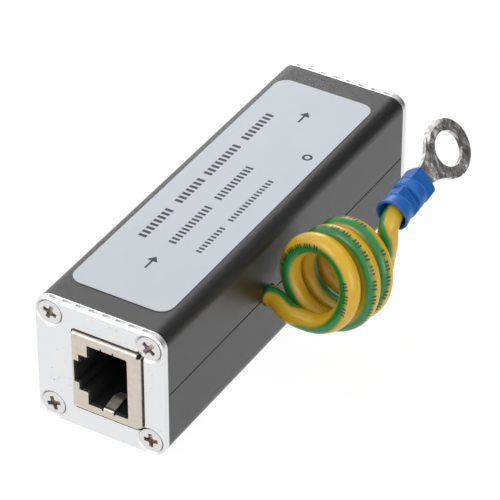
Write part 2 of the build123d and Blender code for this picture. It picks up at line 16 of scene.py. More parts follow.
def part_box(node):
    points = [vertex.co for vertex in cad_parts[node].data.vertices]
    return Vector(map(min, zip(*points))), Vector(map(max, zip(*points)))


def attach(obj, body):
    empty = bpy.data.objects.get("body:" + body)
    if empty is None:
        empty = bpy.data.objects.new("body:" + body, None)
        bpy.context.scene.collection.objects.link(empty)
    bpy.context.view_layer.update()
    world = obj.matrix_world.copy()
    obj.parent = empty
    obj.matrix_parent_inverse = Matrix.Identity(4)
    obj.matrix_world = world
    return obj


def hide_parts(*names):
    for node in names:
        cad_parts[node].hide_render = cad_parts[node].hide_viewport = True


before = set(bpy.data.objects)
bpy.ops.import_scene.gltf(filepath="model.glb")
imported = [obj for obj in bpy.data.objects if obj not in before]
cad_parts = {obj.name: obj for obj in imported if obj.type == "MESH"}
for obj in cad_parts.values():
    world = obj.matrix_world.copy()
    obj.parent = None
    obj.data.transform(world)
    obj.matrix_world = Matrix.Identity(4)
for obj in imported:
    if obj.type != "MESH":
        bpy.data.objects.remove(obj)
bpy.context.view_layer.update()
MM = 0.001

# %% [markdown]
# ## The camera
#
# A product photograph of something this small is taken from about half a metre away with a long lens, so
# that the far end hardly shrinks. The camera could be aimed with a constraint, but two plain angles are
# easier to read: how far it stands round the object, and how high it looks down from.

# %% The camera
camera_azimuth = math.radians(30.765)
camera_elevation = math.radians(36.419)
camera_place = (0.228198, -0.376190, 0.336946)
film_width = 36
lens_length = 225.35
nearest_seen = 0.01

bpy.ops.object.select_all(action="DESELECT")
bpy.ops.object.camera_add(
    location=camera_place,
    rotation=(math.pi / 2 - camera_elevation, 0, camera_azimuth),
)
camera = bpy.context.object
camera.name = "camera"
camera.data.sensor_width = film_width
camera.data.lens = lens_length
camera.data.clip_start = nearest_seen
bpy.context.scene.camera = camera
print("camera lens", camera.data.lens)

# %% [markdown]
# ## The earth lead
#
# The lead is one length of stiff copper wire with striped insulation. It leaves a hole in the side of the
# case, makes three close turns and rises into the terminal. Its centreline is one smooth NURBS curve, so
# that no corner shows anywhere. The control points are the same as those that the CAD model's route has,
# and the turns of the coil come from a loop, with sixteen points to a turn.

# %% The lead's route
lead_diameter = 3.6 * MM
exit_point = Vector((12.5, -7.596, 12.4))
lead_in_route = [
    (0, 0, 0),
    (1.4, 0, 0),
    (4.7, -1.8, -0.8),
]
lead_rise_route = [
    (14.4, 10.9, -0.4),
    (15.3, 12.6, 2.8),
    (15.3, 13.3, 5.8),
    (16.0, 12.9, 8.8),
    (15.7, 13.1, 11.8),
]
ring_middle = Vector((16.1, 33.58, 16.11))
terminal_direction = Vector((-0.026, -0.989, -0.145)).normalized()
terminal_face = Vector((0.808, -0.106, 0.579)).normalized()
lead_bend_place = 18.4
lead_end_place = 17.1

coil_turns = 3
points_per_turn = 16
coil_radius = 7.5
radius_slope = -0.12
radius_bow = -0.36
coil_heading = math.radians(7.3)
coil_droop = math.radians(9.4)
coil_middle = Vector((10.5, 5.3, 4.5))
coil_step = Vector((0.67, 4.1, -0.48))
coil_bow = Vector((-0.38, 0, 0.29))
coil_axis = Vector(
    (
        math.sin(coil_heading) * math.cos(coil_droop),
        math.cos(coil_heading) * math.cos(coil_droop),
        -math.sin(coil_droop),
    )
)
coil_side = Vector((math.cos(coil_heading), -math.sin(coil_heading), 0))
coil_top = coil_side.cross(coil_axis)


def coil_point(turn):
    """A control point of the coil, counted in turns from its lowest point at the front."""
    offset = turn - coil_turns / 2
    radius = coil_radius + radius_slope * offset + radius_bow * offset**2
    radius = radius / math.cos(math.pi / points_per_turn)
    angle = (turn - 0.25) * 2 * math.pi
    middle = coil_middle + coil_step * offset + coil_bow * offset**2
    return middle + radius * (math.cos(angle) * coil_side + math.sin(angle) * coil_top)


coil_points = [coil_point(number / points_per_turn) for number in range(coil_turns * points_per_turn + 1)]
terminal_points = [ring_middle + terminal_direction * place for place in (lead_bend_place, lead_end_place)]
route_points = lead_in_route + coil_points + lead_rise_route + terminal_points
route = [(exit_point + Vector(point)) * MM for point in route_points]
points_between = 8
curve_order = 3

route_data = bpy.data.curves.new("lead_route", "CURVE")
route_data.dimensions = "3D"
route_data.resolution_u = points_between
spline = route_data.splines.new("NURBS")
spline.points.add(len(route) - 1)
for control, point in zip(spline.points, route):
    control.co = (*point, 1)
spline.order_u = curve_order
spline.use_endpoint_u = True
route_curve = bpy.data.objects.new("lead_route", route_data)
bpy.context.collection.objects.link(route_curve)
bpy.context.view_layer.update()
evaluated_scene = bpy.context.evaluated_depsgraph_get()
line_mesh = bpy.data.meshes.new_from_object(route_curve.evaluated_get(evaluated_scene))
centreline = [vertex.co.copy() for vertex in line_mesh.vertices]
bpy.data.objects.remove(route_curve)

# %% [markdown]
# The stripes follow the wire, and the wire was twisted a little as it was wound. A tube made by the curve's
# own bevel would hide that, so the tube is a mesh: rings of points round the centreline that all start on
# the side that faces away from the coil's axis, and a map on its surface that says how far along the wire
# and how far round it each point is. The twist is a list of places along the wire, counted in turns of the
# coil, with the angle at each. It goes into that map, so that the stripes and the small marks follow it.

# %% The lead's tube
ring_points = 32
turn_length = 47.3
twist = (
    (-0.2, -20),
    (-0.08, 8),
    (0.0, 56),
    (0.25, 104),
    (0.5, 116),
    (0.75, 92),
    (1.1, 46),
    (1.25, 54),
    (1.5, 46),
    (1.75, 20),
    (1.92, 4),
    (2.1, -118),
    (2.25, -137),
    (2.5, -154),
    (3.0, -120),
    (3.3, -101),
    (3.5, -145),
)
coil_start = (exit_point + coil_points[0]) * MM
start_number = min(range(len(centreline)), key=lambda number: (centreline[number] - coil_start).length)
lead_in_line = centreline[: start_number + 1]
lead_in_length = sum((after - before).length for before, after in zip(lead_in_line, lead_in_line[1:]))


def twist_at(turns):
    """Turns round the wire by which the insulation is twisted, at a place counted in turns of the coil."""
    for (start, before), (end, after) in zip(twist, twist[1:]):
        if turns <= end:
            share = max(0.0, (turns - start) / (end - start))
            return (before + (after - before) * share * share * (3 - 2 * share)) / 360
    return twist[-1][1] / 360


def tube_along(name, line, radius, outward_from, axis):
    """A closed tube round a line, with a map of turns of the coil along it and turns round it."""
    corners = []
    faces = []
    along = [0.0]
    for before, after in zip(line, line[1:]):
        along.append(along[-1] + (after - before).length)
    places = [(distance - lead_in_length) / (turn_length * MM) for distance in along]
    for number, point in enumerate(line):
        ahead = line[min(number + 1, len(line) - 1)]
        behind = line[max(number - 1, 0)]
        heading = (ahead - behind).normalized()
        side = point - outward_from
        side = side - axis * side.dot(axis)
        side = (side - heading * side.dot(heading)).normalized()
        other = heading.cross(side)
        for step in range(ring_points):
            angle = 2 * math.pi * step / ring_points
            corners.append(point + radius * (math.cos(angle) * side + math.sin(angle) * other))
    for number in range(len(line) - 1):
        for step in range(ring_points):
            here = number * ring_points
            after = (step + 1) % ring_points
            faces.append((here + step, here + after, here + ring_points + after, here + ring_points + step))
    last = (len(line) - 1) * ring_points
    faces.append(tuple(reversed(range(ring_points))))
    faces.append(tuple(range(last, last + ring_points)))
    mesh = bpy.data.meshes.new(name)
    mesh.from_pydata(corners, [], faces)
    surface_map = mesh.uv_layers.new(name="along_and_round")
    for face in mesh.polygons:
        steps = [mesh.loops[loop].vertex_index % ring_points for loop in face.loop_indices]
        closes_ring = len(steps) == 4 and ring_points - 1 in steps
        for loop, step in zip(face.loop_indices, steps):
            turn = 1 if closes_ring and step == 0 else step / ring_points
            place = places[mesh.loops[loop].vertex_index // ring_points]
            surface_map.data[loop].uv = (place, turn + twist_at(place))
    piece = bpy.data.objects.new(name, mesh)
    bpy.context.collection.objects.link(piece)
    for face in mesh.polygons:
        face.use_smooth = len(face.vertices) == 4
    return piece


earth_lead = tube_along(
    "earth_lead", centreline, lead_diameter / 2, (exit_point + coil_middle) * MM, coil_axis.normalized()
)
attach(earth_lead, "root")
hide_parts("earth_lead_in", "earth_coil", "earth_lead_rise")
print("lead faces", len(earth_lead.data.polygons), "lead-in length", round(lead_in_length, 4))

# %% [markdown]
# ## The terminal's sleeve
#
# The sleeve is a turned tube of soft vinyl that a crimping tool has pressed flat in two places, with a
# round ridge left between them. It is made in that order. A disc is drawn out into the turned tube, ring by
# ring, with the terminal's axis as its own Z. The tool's jaws press the flats, and a slot makes room for
# the barrel. A fine remesh and a little smoothing then give every edge the softness of vinyl.

# %% The turned tube
sleeve_sides = 72
sleeve_sections = (
    (8.8, 2.45),
    (8.95, 2.8),
    (9.25, 3.02),
    (11.9, 3.1),
    (12.35, 2.84),
    (12.6, 2.98),
    (13.9, 2.98),
    (14.2, 2.84),
    (14.5, 3.02),
    (16.3, 3.0),
    (16.9, 2.78),
    (18.9, 3.12),
    (19.2, 3.1),
    (19.2, 2.66),
    (16.95, 2.06),
)
crimp_half_thickness = 1.66
crimp_cheeks = {-1: 2.92, 1: 2.5}
jaw_reach = 4.0
jaw_rounding = 0.2
jaw_segments = 3
first_crimp = (8.0, 12.05)
second_crimp = (14.35, 16.55)
slot_half_width = 2.25
slot_half_thickness = 1.325
slot_ends = (8.0, 17.2)
slot_rounding = slot_half_thickness * 0.99
slot_segments = 10
shortest_slot_edge = 1.0

bpy.ops.object.select_all(action="DESELECT")
place, radius = sleeve_sections[0]
bpy.ops.mesh.primitive_circle_add(
    vertices=sleeve_sides, radius=radius * MM, fill_type="NGON", location=(0, 0, place * MM)
)
crimped_sleeve = bpy.context.object
crimped_sleeve.name = "crimped_sleeve"
bpy.ops.object.transform_apply(location=True, rotation=False, scale=False)
bpy.ops.object.mode_set(mode="EDIT")
bpy.ops.mesh.select_all(action="SELECT")
for next_place, next_radius in sleeve_sections[1:]:
    bpy.ops.mesh.extrude_region_move(TRANSFORM_OT_translate={"value": (0, 0, (next_place - place) * MM)})
    growth = next_radius / radius
    bpy.ops.transform.resize(value=(growth, growth, 1), center_override=(0, 0, next_place * MM))
    place, radius = next_place, next_radius
bpy.ops.mesh.select_all(action="SELECT")
bpy.ops.mesh.normals_make_consistent(inside=False)
bpy.ops.object.mode_set(mode="OBJECT")
print("turned tube:", len(crimped_sleeve.data.vertices), "vertices")

# %% The jaws and the slot


def block(name, low, high, rounding=0.0):
    """A block between two corners in millimetres, with its edges rounded if a rounding is given."""
    bpy.ops.object.select_all(action="DESELECT")
    middle = [(a + b) / 2 * MM for a, b in zip(low, high)]
    bpy.ops.mesh.primitive_cube_add(size=1, location=middle)
    made = bpy.context.object
    made.name = name
    made.scale = [(b - a) * MM for a, b in zip(low, high)]
    bpy.ops.object.transform_apply(location=True, rotation=False, scale=True)
    if rounding:
        soften = made.modifiers.new("rounding", "BEVEL")
        soften.width = rounding * MM
        soften.segments = jaw_segments
        bpy.ops.object.modifier_apply(modifier=soften.name)
    return made


def cut(piece, tool):
    """Takes the tool's volume from the piece, and the tool from the scene."""
    bpy.ops.object.select_all(action="DESELECT")
    bpy.context.view_layer.objects.active = piece
    taken = piece.modifiers.new("cut", "BOOLEAN")
    taken.operation = "DIFFERENCE"
    taken.solver = "EXACT"
    taken.object = tool
    bpy.ops.object.modifier_apply(modifier=taken.name)
    bpy.data.objects.remove(tool)


for start, end in (first_crimp, second_crimp):
    for side in (-1, 1):
        flat = sorted((side * crimp_half_thickness, side * jaw_reach))
        jaw = block("jaw", (flat[0], -jaw_reach, start), (flat[1], jaw_reach, end), jaw_rounding)
        cut(crimped_sleeve, jaw)
        cheek = sorted((side * crimp_cheeks[side], side * jaw_reach))
        jaw = block("cheek", (-jaw_reach, cheek[0], start), (jaw_reach, cheek[1], end), jaw_rounding)
        cut(crimped_sleeve, jaw)
slot = block(
    "slot",
    (-slot_half_thickness, -slot_half_width, slot_ends[0]),
    (slot_half_thickness, slot_half_width, slot_ends[1]),
)
bpy.ops.object.mode_set(mode="EDIT")
bpy.ops.mesh.select_all(action="DESELECT")
bpy.ops.object.mode_set(mode="OBJECT")
for edge in slot.data.edges:
    ends = [slot.data.vertices[number].co for number in edge.vertices]
    edge.select = abs(ends[0].z - ends[1].z) > shortest_slot_edge * MM
bpy.ops.object.mode_set(mode="EDIT")
bpy.ops.mesh.select_mode(type="EDGE")
bpy.ops.mesh.bevel(offset=slot_rounding * MM, segments=slot_segments)
bpy.ops.object.mode_set(mode="OBJECT")
cut(crimped_sleeve, slot)
print("pressed sleeve:", len(crimped_sleeve.data.vertices), "vertices")

# %% The sleeve's soft edges and its place
remesh_size = 0.085
smoothing_share = 0.5
smoothing_rounds = 5

bpy.ops.object.select_all(action="DESELECT")
crimped_sleeve.select_set(True)
bpy.context.view_layer.objects.active = crimped_sleeve
even = crimped_sleeve.modifiers.new("even", "REMESH")
even.mode = "VOXEL"
even.voxel_size = remesh_size * MM
even.use_smooth_shade = True
bpy.ops.object.modifier_apply(modifier=even.name)
soft = crimped_sleeve.modifiers.new("soft", "SMOOTH")
soft.factor = smoothing_share
soft.iterations = smoothing_rounds
bpy.ops.object.modifier_apply(modifier=soft.name)
terminal_side = terminal_direction.cross(terminal_face)
sleeve_turn = Matrix((terminal_face, terminal_side, terminal_direction)).transposed()
crimped_sleeve.matrix_world = Matrix.Translation((exit_point + ring_middle) * MM) @ sleeve_turn.to_4x4()
bpy.ops.object.transform_apply(location=True, rotation=True, scale=False)
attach(crimped_sleeve, "root")
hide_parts("terminal_sleeve")
print("sleeve faces", len(crimped_sleeve.data.polygons))

# %% [markdown]
# ## Light, floor and background
#
# The real photograph was taken in a white light tent, where the background burns out to white. The world is
# white to the camera and to what mirrors it, and much weaker as a light, so the white does not wash out the
# colours. Four softboxes do the lighting: a small one low behind to the left, where the top of the case
# mirrors it, one above the far end, and one each at the front left and the right. The one above lights the
# label, but nothing mirrors it, or its shine would fill the dark band along the case's rounded edge.
#
# That band comes from the dark room behind the open side of the tent. A dark card stands there, behind to
# the right and out of the camera's sight, and also gives the ring its dark patches. A second card lies on
# the floor in front of it, seen only by what mirrors it.

# %% Floor, cards, lamps and world
floor_size = 4
floor_level = -0.2 * MM

bpy.ops.object.select_all(action="DESELECT")
bpy.ops.mesh.primitive_plane_add(size=floor_size, location=(0, 0, floor_level))
floor = bpy.context.object
floor.name = "floor"

card_azimuth = math.radians(18.5)
card_elevation = math.radians(29)
card_distance = 0.9
card_width = 1.5
card_height = 0.92
low_card_azimuth = math.radians(40)
low_card_distance = 0.57
low_card_width = 0.9
low_card_length = 0.84
low_card_level = 0.4 * MM


def direction_at(azimuth, elevation):
    """The direction at an angle to the right of +Y and an angle above the floor."""
    level = math.cos(elevation)
    return Vector((math.sin(azimuth) * level, math.cos(azimuth) * level, math.sin(elevation)))


def card(name, place, rotation, width, height):
    """A card that what mirrors it sees, and the camera does not."""
    bpy.ops.object.select_all(action="DESELECT")
    bpy.ops.mesh.primitive_plane_add(size=1, location=place, rotation=rotation)
    made = bpy.context.object
    made.name = name
    made.scale = (width, height, 1)
    made.visible_camera = False
    return made


dark_card = card(
    "dark_card",
    direction_at(card_azimuth, card_elevation) * card_distance,
    (math.pi / 2 - card_elevation, 0, -card_azimuth),
    card_width,
    card_height,
)
low_card = card(
    "low_card",
    direction_at(low_card_azimuth, 0) * low_card_distance + Vector((0, 0, low_card_level)),
    (0, 0, -low_card_azimuth),
    low_card_width,
    low_card_length,
)
low_card.visible_shadow = False
low_card.visible_diffuse = False

world_light = 0.42
world = bpy.data.worlds.new("light_tent")
bpy.context.scene.world = world
world.use_nodes = True
world_nodes = world.node_tree.nodes
world_nodes["Background"].inputs["Color"].default_value = (1, 1, 1, 1)
ray_kind = world_nodes.new("ShaderNodeLightPath")
sees_white = world_nodes.new("ShaderNodeMath")
sees_white.operation = "ADD"
sees_white.use_clamp = True
sees_glass = world_nodes.new("ShaderNodeMath")
sees_glass.operation = "ADD"
strength = world_nodes.new("ShaderNodeMapRange")
strength.inputs["To Min"].default_value = world_light
strength.inputs["To Max"].default_value = 1.0
world.node_tree.links.new(ray_kind.outputs["Is Glossy Ray"], sees_glass.inputs[0])
world.node_tree.links.new(ray_kind.outputs["Is Transmission Ray"], sees_glass.inputs[1])
world.node_tree.links.new(ray_kind.outputs["Is Camera Ray"], sees_white.inputs[0])
world.node_tree.links.new(sees_glass.outputs[0], sees_white.inputs[1])
world.node_tree.links.new(sees_white.outputs[0], strength.inputs["Value"])
world.node_tree.links.new(strength.outputs["Result"], world_nodes["Background"].inputs["Strength"])


def softbox(name, place, aim, size, watts):
    """A square area lamp that points at a place on the object."""
    bpy.ops.object.select_all(action="DESELECT")
    facing = (Vector(aim) - Vector(place)).to_track_quat("-Z", "Y").to_euler()
    bpy.ops.object.light_add(type="AREA", location=place, rotation=facing)
    lamp = bpy.context.object
    lamp.name = name
    lamp.data.shape = "SQUARE"
    lamp.data.size = size
    lamp.data.energy = watts
    return lamp


softbox("lamp_behind", place=(-0.29, 0.42, 0.235), aim=(0, 0.04, 0.02), size=0.2, watts=0.5)
lamp_above = softbox("lamp_above", place=(0.0, 0.30, 0.62), aim=(0, 0, 0.01), size=0.35, watts=1.3)
lamp_above.visible_glossy = False
softbox("lamp_left", place=(-0.45, -0.55, 0.50), aim=(0, 0, 0.01), size=0.4, watts=1.6)
softbox("lamp_right", place=(0.62, -0.35, 0.35), aim=(0, 0, 0.01), size=0.4, watts=1.2)
bpy.context.scene.view_settings.view_transform = "Standard"
print("lamps set")

# %% [markdown]
# ## Tools for the finishes
#
# Each finish is a small network of nodes. Two helpers keep that readable: a Signal is one varying value,
# and can be added or multiplied like a number, and a Look is a material whose nodes come from one method.

# %% Signals and looks


class Signal:
    """One output of a material's nodes, on which plain Python maths works."""

    def __init__(self, look, socket):
        self.look = look
        self.socket = socket

    def maths(self, operation, first, second=0.0):
        return self.look.node("ShaderNodeMath", {"operation": operation}, [first, second])

    def __add__(self, other):
        return self.maths("ADD", self, other)

    __radd__ = __add__

    def __sub__(self, other):
        return self.maths("SUBTRACT", self, other)

    def __rsub__(self, other):
        return self.maths("SUBTRACT", other, self)

    def __mul__(self, other):
        return self.maths("MULTIPLY", self, other)

    __rmul__ = __mul__

    def __mod__(self, other):
        return self.maths("FLOORED_MODULO", self, other)

    def __lt__(self, other):
        return self.maths("LESS_THAN", self, other)

    def __gt__(self, other):
        return self.maths("GREATER_THAN", self, other)

    def __abs__(self):
        return self.maths("ABSOLUTE", self)

    def __pow__(self, other):
        return self.maths("POWER", self, other)


class Look:
    """A material with a Principled shader, whose uniform values are set on the shader's own sockets."""

    def __init__(self, name, **uniform):
        self.material = bpy.data.materials.new(name)
        self.material.use_nodes = True
        self.tree = self.material.node_tree
        self.shader = self.tree.nodes["Principled BSDF"]
        for word, value in uniform.items():
            self.shader.inputs[word.replace("_", " ")].default_value = value

    def connect(self, value, socket):
        """Links a signal to an input, or sets a plain value on it."""
        if isinstance(value, Signal):
            self.tree.links.new(value.socket, socket)
        else:
            socket.default_value = value

    def node(self, kind, settings, values, output=0):
        """Makes a node: its settings first, then the values or signals of its inputs."""
        made = self.tree.nodes.new(kind)
        for word, value in settings.items():
            setattr(made, word, value)
        pairs = values.items() if isinstance(values, dict) else enumerate(values)
        for socket, value in pairs:
            self.connect(value, made.inputs[socket])
        return Signal(self, made.outputs[output])

    def feed(self, **signals):
        """Gives signals to the shader's own inputs."""
        for word, value in signals.items():
            self.connect(value, self.shader.inputs[word.replace("_", " ")])

    def place(self):
        """Each point's place in the object."""
        return self.node("ShaderNodeTexCoord", {}, [], "Object")

    def parts_of(self, vector):
        """The three numbers of a vector, each as a signal."""
        split = self.node("ShaderNodeSeparateXYZ", {}, [vector])
        return [Signal(self, socket) for socket in split.socket.node.outputs]

    def vector_maths(self, operation, vectors, output=0):
        return self.node("ShaderNodeVectorMath", {"operation": operation}, vectors, output)

    def stretched(self, vector, scale):
        return self.node("ShaderNodeMapping", {}, {"Vector": vector, "Scale": scale})

    def noise(self, vector, scale, detail, roughness):
        values = {"Vector": vector, "Scale": scale, "Detail": detail, "Roughness": roughness}
        return self.node("ShaderNodeTexNoise", {}, values, "Fac")

    def between(self, value, low, high):
        """0 below low and 1 above high, with a smooth step from one to the other."""
        values = {"Value": value, "From Min": low, "From Max": high}
        return self.node("ShaderNodeMapRange", {"interpolation_type": "SMOOTHSTEP"}, values)

    def blend(self, share, first, second):
        """The first colour where the share is 0 and the second where it is 1."""
        values = {"Factor": share, 6: first, 7: second}
        return self.node("ShaderNodeMix", {"data_type": "RGBA"}, values, 2)

    def bump(self, height, distance, strength):
        values = {"Height": height, "Distance": distance, "Strength": strength}
        return self.node("ShaderNodeBump", {}, values, "Normal")


def dress(look, *nodes):
    """Gives a look to CAD nodes or to pieces of the scene."""
    for name in nodes:
        piece = bpy.data.objects[name]
        piece.data.materials.clear()
        piece.data.materials.append(look.material)


def worn_metal(name, nodes, wear_scale, dark, light, smoothest, spread):
    """Gives nodes a plain metal whose colour and roughness vary with wear."""
    look = Look(name, Metallic=1.0)
    wear = look.noise(look.place(), wear_scale, detail=3, roughness=0.5)
    look.feed(Base_Color=look.blend(wear, dark, light), Roughness=smoothest + spread * wear)
    dress(look, *nodes)


# %% [markdown]
# ## The floor's and the cards' finish
#
# The floor is matt and pale to the light. The camera and the mirrors see it almost burnt out: a plain white
# glow is mixed over it, through which only a faint trace of the soft shadow shows. The cards are matt and
# black.

# %% Floor and card finish
floor_glow = 0.94
floor_look = Look("floor_white", Roughness=0.9, Base_Color=(0.9, 0.9, 0.9, 1), Specular_IOR_Level=0.1)
ray = floor_look.node("ShaderNodeLightPath", {}, [])
ray_outputs = ray.socket.node.outputs
seen = Signal(floor_look, ray_outputs["Is Camera Ray"]) + Signal(floor_look, ray_outputs["Is Glossy Ray"])
seen = seen + Signal(floor_look, ray_outputs["Is Transmission Ray"])
glow = floor_look.node("ShaderNodeEmission", {}, {"Color": (1, 1, 1, 1), "Strength": 1.03})
matt = Signal(floor_look, floor_look.shader.outputs[0])
mixed = floor_look.node("ShaderNodeMixShader", {}, [seen * floor_glow, matt, glow])
floor_look.connect(mixed, floor_look.tree.nodes["Material Output"].inputs["Surface"])
dress(floor_look, "floor")

card_look = Look("card_black", Roughness=0.9, Base_Color=(0.012, 0.012, 0.012, 1), Specular_IOR_Level=0.1)
dress(card_look, "dark_card", "low_card")

# %% [markdown]
# ## The case
#
# The case is extruded aluminium with a black anodised skin. The die leaves faint lines along its length,
# and the anodising has a fine grain that scatters light, so the black reads as dark grey where it faces a
# lamp. The grain is a bump and a change of roughness, and both are read from the object's own place.

# %% Case finish
case_look = Look("black_anodise", Metallic=0.0, Specular_IOR_Level=0.58)
case_place = case_look.place()
grain = case_look.noise(case_place, scale=2900, detail=4, roughness=0.8)
along_case = case_look.stretched(case_place, (1, 0.01, 1))
die_lines = case_look.noise(along_case, scale=2600, detail=3, roughness=0.6)
case_look.feed(
    Base_Color=case_look.blend(grain, (0.0015, 0.0015, 0.0017, 1), (0.011, 0.011, 0.0115, 1)),
    Roughness=0.16 + 0.12 * grain,
    Normal=case_look.bump(grain * 0.88 + die_lines * 0.12, distance=0.00011, strength=0.9),
)
dress(case_look, "lower_shell", "upper_shell")

# %% [markdown]
# ## The end plates and screws
#
# The plates are cut from rolled aluminium sheet. Rolling leaves fine lines and pits, and handling leaves
# small dull specks, some of them in patches. The shear leaves a row of short dark marks along the edge. The
# screws are plated steel, smoother and a little darker, with a brownish painted shade low in their
# recesses.

# %% Plate finish
plate_low, plate_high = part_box("input_end_plate")
plate_middle = abs(plate_low[1] + plate_high[1]) / 2
shear_pitch = 2.6 * MM
shear_gap = 0.3 * MM
shear_fading = (0.1 * MM, 2.5 * MM)
shear_shift = 0.2 * MM
shear_half_width = 0.3 * MM
shear_depth = 0.22 * MM
shear_half_length = 10.5 * MM
plate_look = Look("rolled_aluminium", Metallic=1.0)
plate_place = plate_look.place()
plate_x, plate_y, plate_z = plate_look.parts_of(plate_place)
pits = plate_look.noise(plate_place, scale=3800, detail=3, roughness=0.65)
across_plate = plate_look.stretched(plate_place, (0.02, 1, 1))
rolling = plate_look.noise(across_plate, scale=2400, detail=3, roughness=0.6)
smudge_noise = plate_look.noise(plate_place, scale=190, detail=2, roughness=0.5)
speck_noise = plate_look.noise(plate_place, scale=1700, detail=4, roughness=0.75)
stray_noise = plate_look.noise(plate_place, scale=1500, detail=4, roughness=0.7)
smudges = plate_look.between(smudge_noise, 0.56, 0.68)
specks = plate_look.between(speck_noise, 0.57, 0.66) * smudges
stray_specks = plate_look.between(stray_noise, 0.64, 0.72)
shear_step = plate_x % shear_pitch
shear_fade = (1 - plate_look.between(shear_step, *shear_fading) * 0.55) * (shear_step > shear_gap)
shear_band = abs(abs(plate_y) - plate_middle + shear_shift) < shear_half_width
shear_row = shear_fade * shear_band * (0.6 + 0.8 * pits)
shear_marks = shear_row * (plate_z > plate_high[2] - shear_depth) * (abs(plate_x) < shear_half_length)
specked = plate_look.blend(specks * 0.8 + stray_specks, (0.81, 0.815, 0.825, 1), (0.42, 0.42, 0.43, 1))
plate_look.feed(
    Base_Color=plate_look.blend(shear_marks, specked, (0.20, 0.20, 0.205, 1)),
    Roughness=0.32 + 0.16 * rolling,
    Normal=plate_look.bump(pits * 0.6 + rolling * 0.4, distance=0.00003, strength=0.4),
)
dress(plate_look, "input_end_plate", "output_end_plate")

# %% Screw finish
screws_low, screws_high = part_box("input_plate_screws")
screw_head_radius = 2.25 * MM
screw_side = (screws_high[0] - screws_low[0]) / 2 - screw_head_radius
screw_level = (screws_high[2] + screws_low[2]) / 2
screw_face = abs(screws_low[1])
# Where the painted shade lies in the cross recesses: its depths under the head's face and its reach from
# each screw's axis
recess_shade_start = (0.08 * MM, 0.4 * MM)
recess_shade_end = (0.9 * MM, 1.0 * MM)
recess_shade_reach = (1.4 * MM, 1.6 * MM)
screw_look = Look("plated_steel", Metallic=1.0)
screw_place = screw_look.place()
screw_x, screw_y, screw_z = screw_look.parts_of(screw_place)
screw_wear = screw_look.noise(screw_place, scale=2200, detail=3, roughness=0.6)
from_axis_x = abs(screw_x) - screw_side
from_axis_z = abs(screw_z - screw_level) - screw_side
from_axis = (from_axis_x * from_axis_x + from_axis_z * from_axis_z) ** 0.5
below_face = screw_face - abs(screw_y)
# Painted shade: inside the cross recesses, from a little below the head's face to about a millimetre deep,
# the colour turns a darker brown
recess_painted_shade = (
    screw_look.between(below_face, *recess_shade_start)
    * (1 - screw_look.between(below_face, *recess_shade_end))
    * (1 - screw_look.between(from_axis, *recess_shade_reach))
)
plated = screw_look.blend(screw_wear, (0.66, 0.65, 0.64, 1), (0.84, 0.83, 0.82, 1))
# Base colour: the plated steel, turning to the brownish painted shade in the recesses
screw_look.feed(
    Base_Color=screw_look.blend(recess_painted_shade, plated, (0.50, 0.44, 0.37, 1)),
    Roughness=0.2 + 0.2 * screw_wear,
    Normal=screw_look.bump(screw_wear, distance=0.00003, strength=0.5),
)
dress(screw_look, "input_plate_screws", "output_plate_screws")

# %% [markdown]
# ## The sockets
#
# Each socket has a folded shield of nickel-plated sheet, which is a little warmer and darker than the plate
# and duller inside the window. Behind it are a black moulded body and eight gilt spring contacts.

# %% Shield finish
window_edge = (41.2 * MM, 41.7 * MM)
shield_look = Look("nickel_plate", Metallic=1.0)
shield_place = shield_look.place()
shield_depth = abs(shield_look.parts_of(shield_place)[1])
inside_socket = 1 - shield_look.between(shield_depth, *window_edge)
shield_wear = shield_look.noise(shield_place, scale=900, detail=4, roughness=0.6)
shield_look.feed(
    Base_Color=shield_look.blend(shield_wear, (0.54, 0.485, 0.41, 1), (0.76, 0.70, 0.61, 1)),
    Roughness=0.24 + 0.18 * shield_wear + 0.22 * inside_socket,
    Normal=shield_look.bump(shield_wear, distance=0.00003, strength=0.3),
)
dress(shield_look, "input_jack_shield", "output_jack_shield")

# %% Socket body and contacts
body_look = Look("socket_black", Specular_IOR_Level=0.4)
body_place = body_look.place()
body_grain = body_look.noise(body_place, scale=3000, detail=2, roughness=0.5)
body_look.feed(
    Base_Color=body_look.blend(body_grain, (0.012, 0.012, 0.013, 1), (0.022, 0.022, 0.023, 1)),
    Roughness=0.45 + 0.15 * body_grain,
    Normal=body_look.bump(body_grain, distance=0.00003, strength=0.4),
)
dress(body_look, "input_jack_body", "output_jack_body")

worn_metal(
    "gilt_contact",
    ("input_jack_contacts", "output_jack_contacts"),
    wear_scale=1800,
    dark=(0.72, 0.50, 0.16, 1),
    light=(0.88, 0.68, 0.30, 1),
    smoothest=0.18,
    spread=0.15,
)

# %% [markdown]
# ## The protection board
#
# Nothing of the board shows while the case is shut, but it is finished as the rest is: a drilled green
# laminate, pale ceramic gas tubes with metal ends and a metal band, and small dark parts with bright ends.

# %% Board finish
board_look = Look("solder_mask")
board_place = board_look.place()
weave = board_look.noise(board_look.stretched(board_place, (1, 3, 1)), scale=900, detail=2, roughness=0.5)
board_look.feed(
    Base_Color=board_look.blend(weave, (0.012, 0.11, 0.05, 1), (0.02, 0.17, 0.08, 1)),
    Roughness=0.3 + 0.15 * weave,
    Normal=board_look.bump(weave, distance=0.00004, strength=0.4),
)
dress(board_look, "circuit_board")

